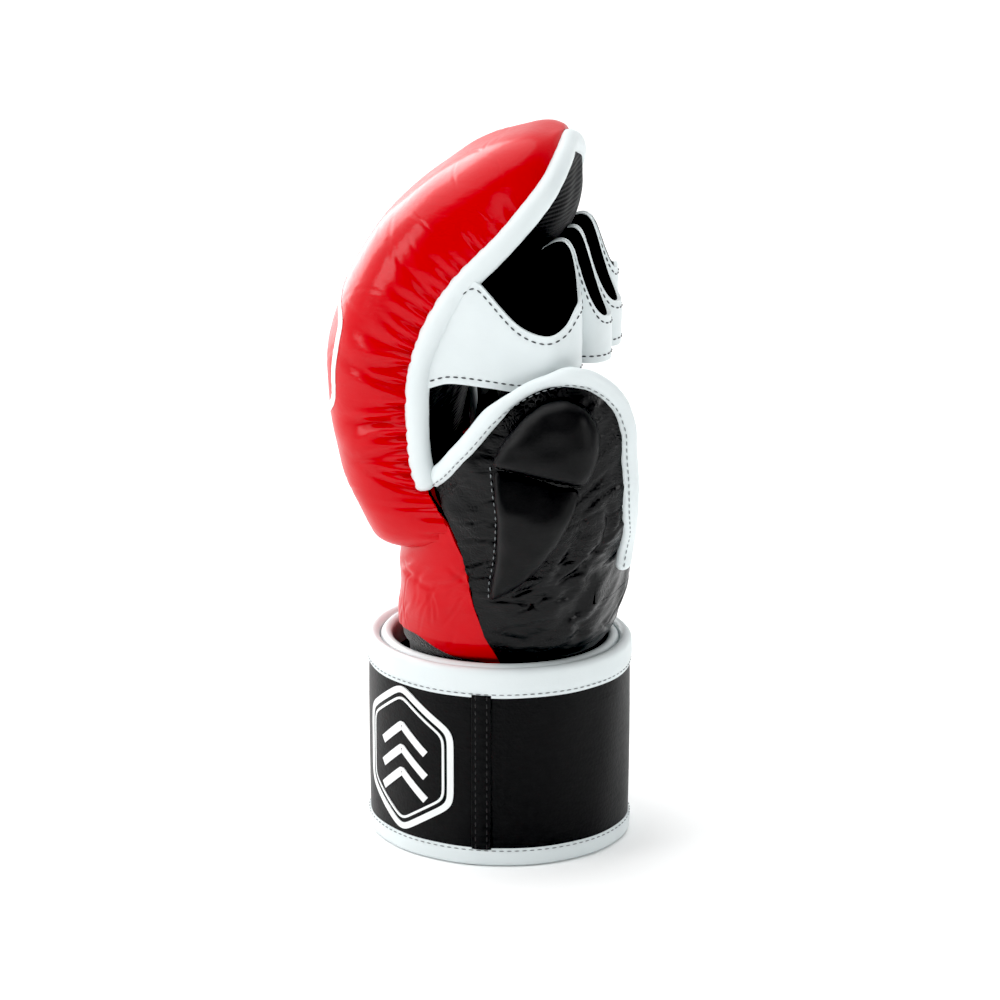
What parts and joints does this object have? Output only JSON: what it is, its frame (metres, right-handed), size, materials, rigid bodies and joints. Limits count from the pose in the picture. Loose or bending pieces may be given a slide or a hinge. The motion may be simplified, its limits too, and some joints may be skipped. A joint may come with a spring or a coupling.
{
  "type": "mma glove",
  "caption": "Open-palm sparring glove for the left hand with a thick knuckle pad, finger loops, padded thumb guard and a double-wrapped wrist strap.",
  "frame": {"origin": "centre of the wrist opening, in the plane the closed wrist strap stands on", "axes": "+Z from the wrist to the fingertips; +X from the back of the hand to the palm; -Y towards the thumb"},
  "size_m": [0.1193, 0.1108, 0.2689],
  "materials": {
    "red_leather": "gloss",
    "black_leather": "semi-gloss",
    "strap_leather": "satin",
    "white_leather": "semi-gloss",
    "lining_fabric": "matt",
    "wrap_fabric": "matt",
    "foam": "matt",
    "velour_tape": "matt",
    "hook_tape": "matt",
    "elastic": "matt"
  },
  "bodies": {
    "wrist": {"wrist_back_panel": "red_leather", "wrist_heel_panel": "black_leather", "sleeve_lining": "lining_fabric", "wrap_inner_panel": "strap_leather", "wrap_inner_top_binding": "white_leather", "wrap_inner_bottom_binding": "white_leather", "wrap_lining": "wrap_fabric", "loop_patch": "velour_tape", "wrap_outer_panel": "strap_leather", "wrap_outer_top_binding": "white_leather", "wrap_outer_bottom_binding": "white_leather"},
    "flap_root": {"flap_root_panel": "strap_leather", "flap_root_top_binding": "white_leather", "flap_root_bottom_binding": "white_leather"},
    "flap_mid": {"flap_mid_panel": "strap_leather", "flap_mid_top_binding": "white_leather", "flap_mid_bottom_binding": "white_leather"},
    "flap_tip": {"flap_tip_panel": "strap_leather", "flap_tip_top_binding": "white_leather", "flap_tip_bottom_binding": "white_leather", "flap_end_binding": "white_leather", "hook_patch": "hook_tape"},
    "hand": {"hand_back_panel": "red_leather", "palm_heel_panel": "black_leather", "thumb_side_panel": "black_leather", "ulnar_side_panel": "black_leather", "ulnar_edge_binding": "white_leather", "heel_edge_binding": "black_leather", "hand_pad_cover": "red_leather", "hand_pad_foam": "foam", "hand_pad_lining": "lining_fabric", "hand_thumb_binding": "white_leather", "hand_ulnar_binding": "white_leather"},
    "fingers": {"finger_pad_cover": "red_leather", "finger_pad_foam": "foam", "finger_pad_lining": "lining_fabric", "finger_pad_binding": "white_leather", "index_loop": "white_leather", "middle_loop": "white_leather", "ring_loop": "white_leather", "little_loop": "white_leather", "index_loop_lining": "lining_fabric", "middle_loop_lining": "lining_fabric", "ring_loop_lining": "lining_fabric", "little_loop_lining": "lining_fabric"},
    "thumb_base": {"thumb_base_cover": "black_leather", "thumb_base_lining": "lining_fabric", "thumb_base_foam": "foam", "thumb_base_pad": "black_leather", "thumb_base_front_binding": "white_leather", "thumb_base_palm_binding": "white_leather", "thumb_loop": "elastic"},
    "thumb_tip": {"thumb_tip_cover": "black_leather", "thumb_tip_lining": "lining_fabric", "thumb_tip_foam": "foam", "thumb_tip_pad": "black_leather", "thumb_tip_binding": "white_leather"}
  },
  "joints": [
    {"name": "wrist_bend", "type": "hinge", "parent": "wrist", "child": "hand", "pos_m": [0.006, 0, 0.0865], "axis": [0, 1, 0], "range_deg": [-10, 10]},
    {"name": "finger_curl", "type": "hinge", "parent": "hand", "child": "fingers", "pos_m": [-0.015, 0, 0.166], "axis": [0, 1, 0], "range_deg": [0, 20]},
    {"name": "thumb_swing", "type": "hinge", "parent": "hand", "child": "thumb_base", "pos_m": [0.026, -0.0452, 0.1003], "axis": [1, 0, 0], "range_deg": [0, 25]},
    {"name": "thumb_tip_bend", "type": "hinge", "parent": "thumb_base", "child": "thumb_tip", "pos_m": [0.026, -0.0549, 0.1563], "axis": [0.9766, 0, -0.2149], "range_deg": [0, 15]},
    {"name": "flap_open", "type": "hinge", "parent": "wrist", "child": "flap_root", "pos_m": [0.00417, -0.04618, 0.0385], "axis": [0, 0, 1], "range_deg": [0, 40]},
    {"name": "flap_mid_bend", "type": "hinge", "parent": "flap_root", "child": "flap_mid", "pos_m": [-0.04499, -0.01458, 0.0385], "axis": [0, 0, 1], "range_deg": [0, 50]},
    {"name": "flap_tip_bend", "type": "hinge", "parent": "flap_mid", "child": "flap_tip", "pos_m": [-0.03838, 0.02816, 0.0385], "axis": [0, 0, 1], "range_deg": [0, 60]}
  ]
}
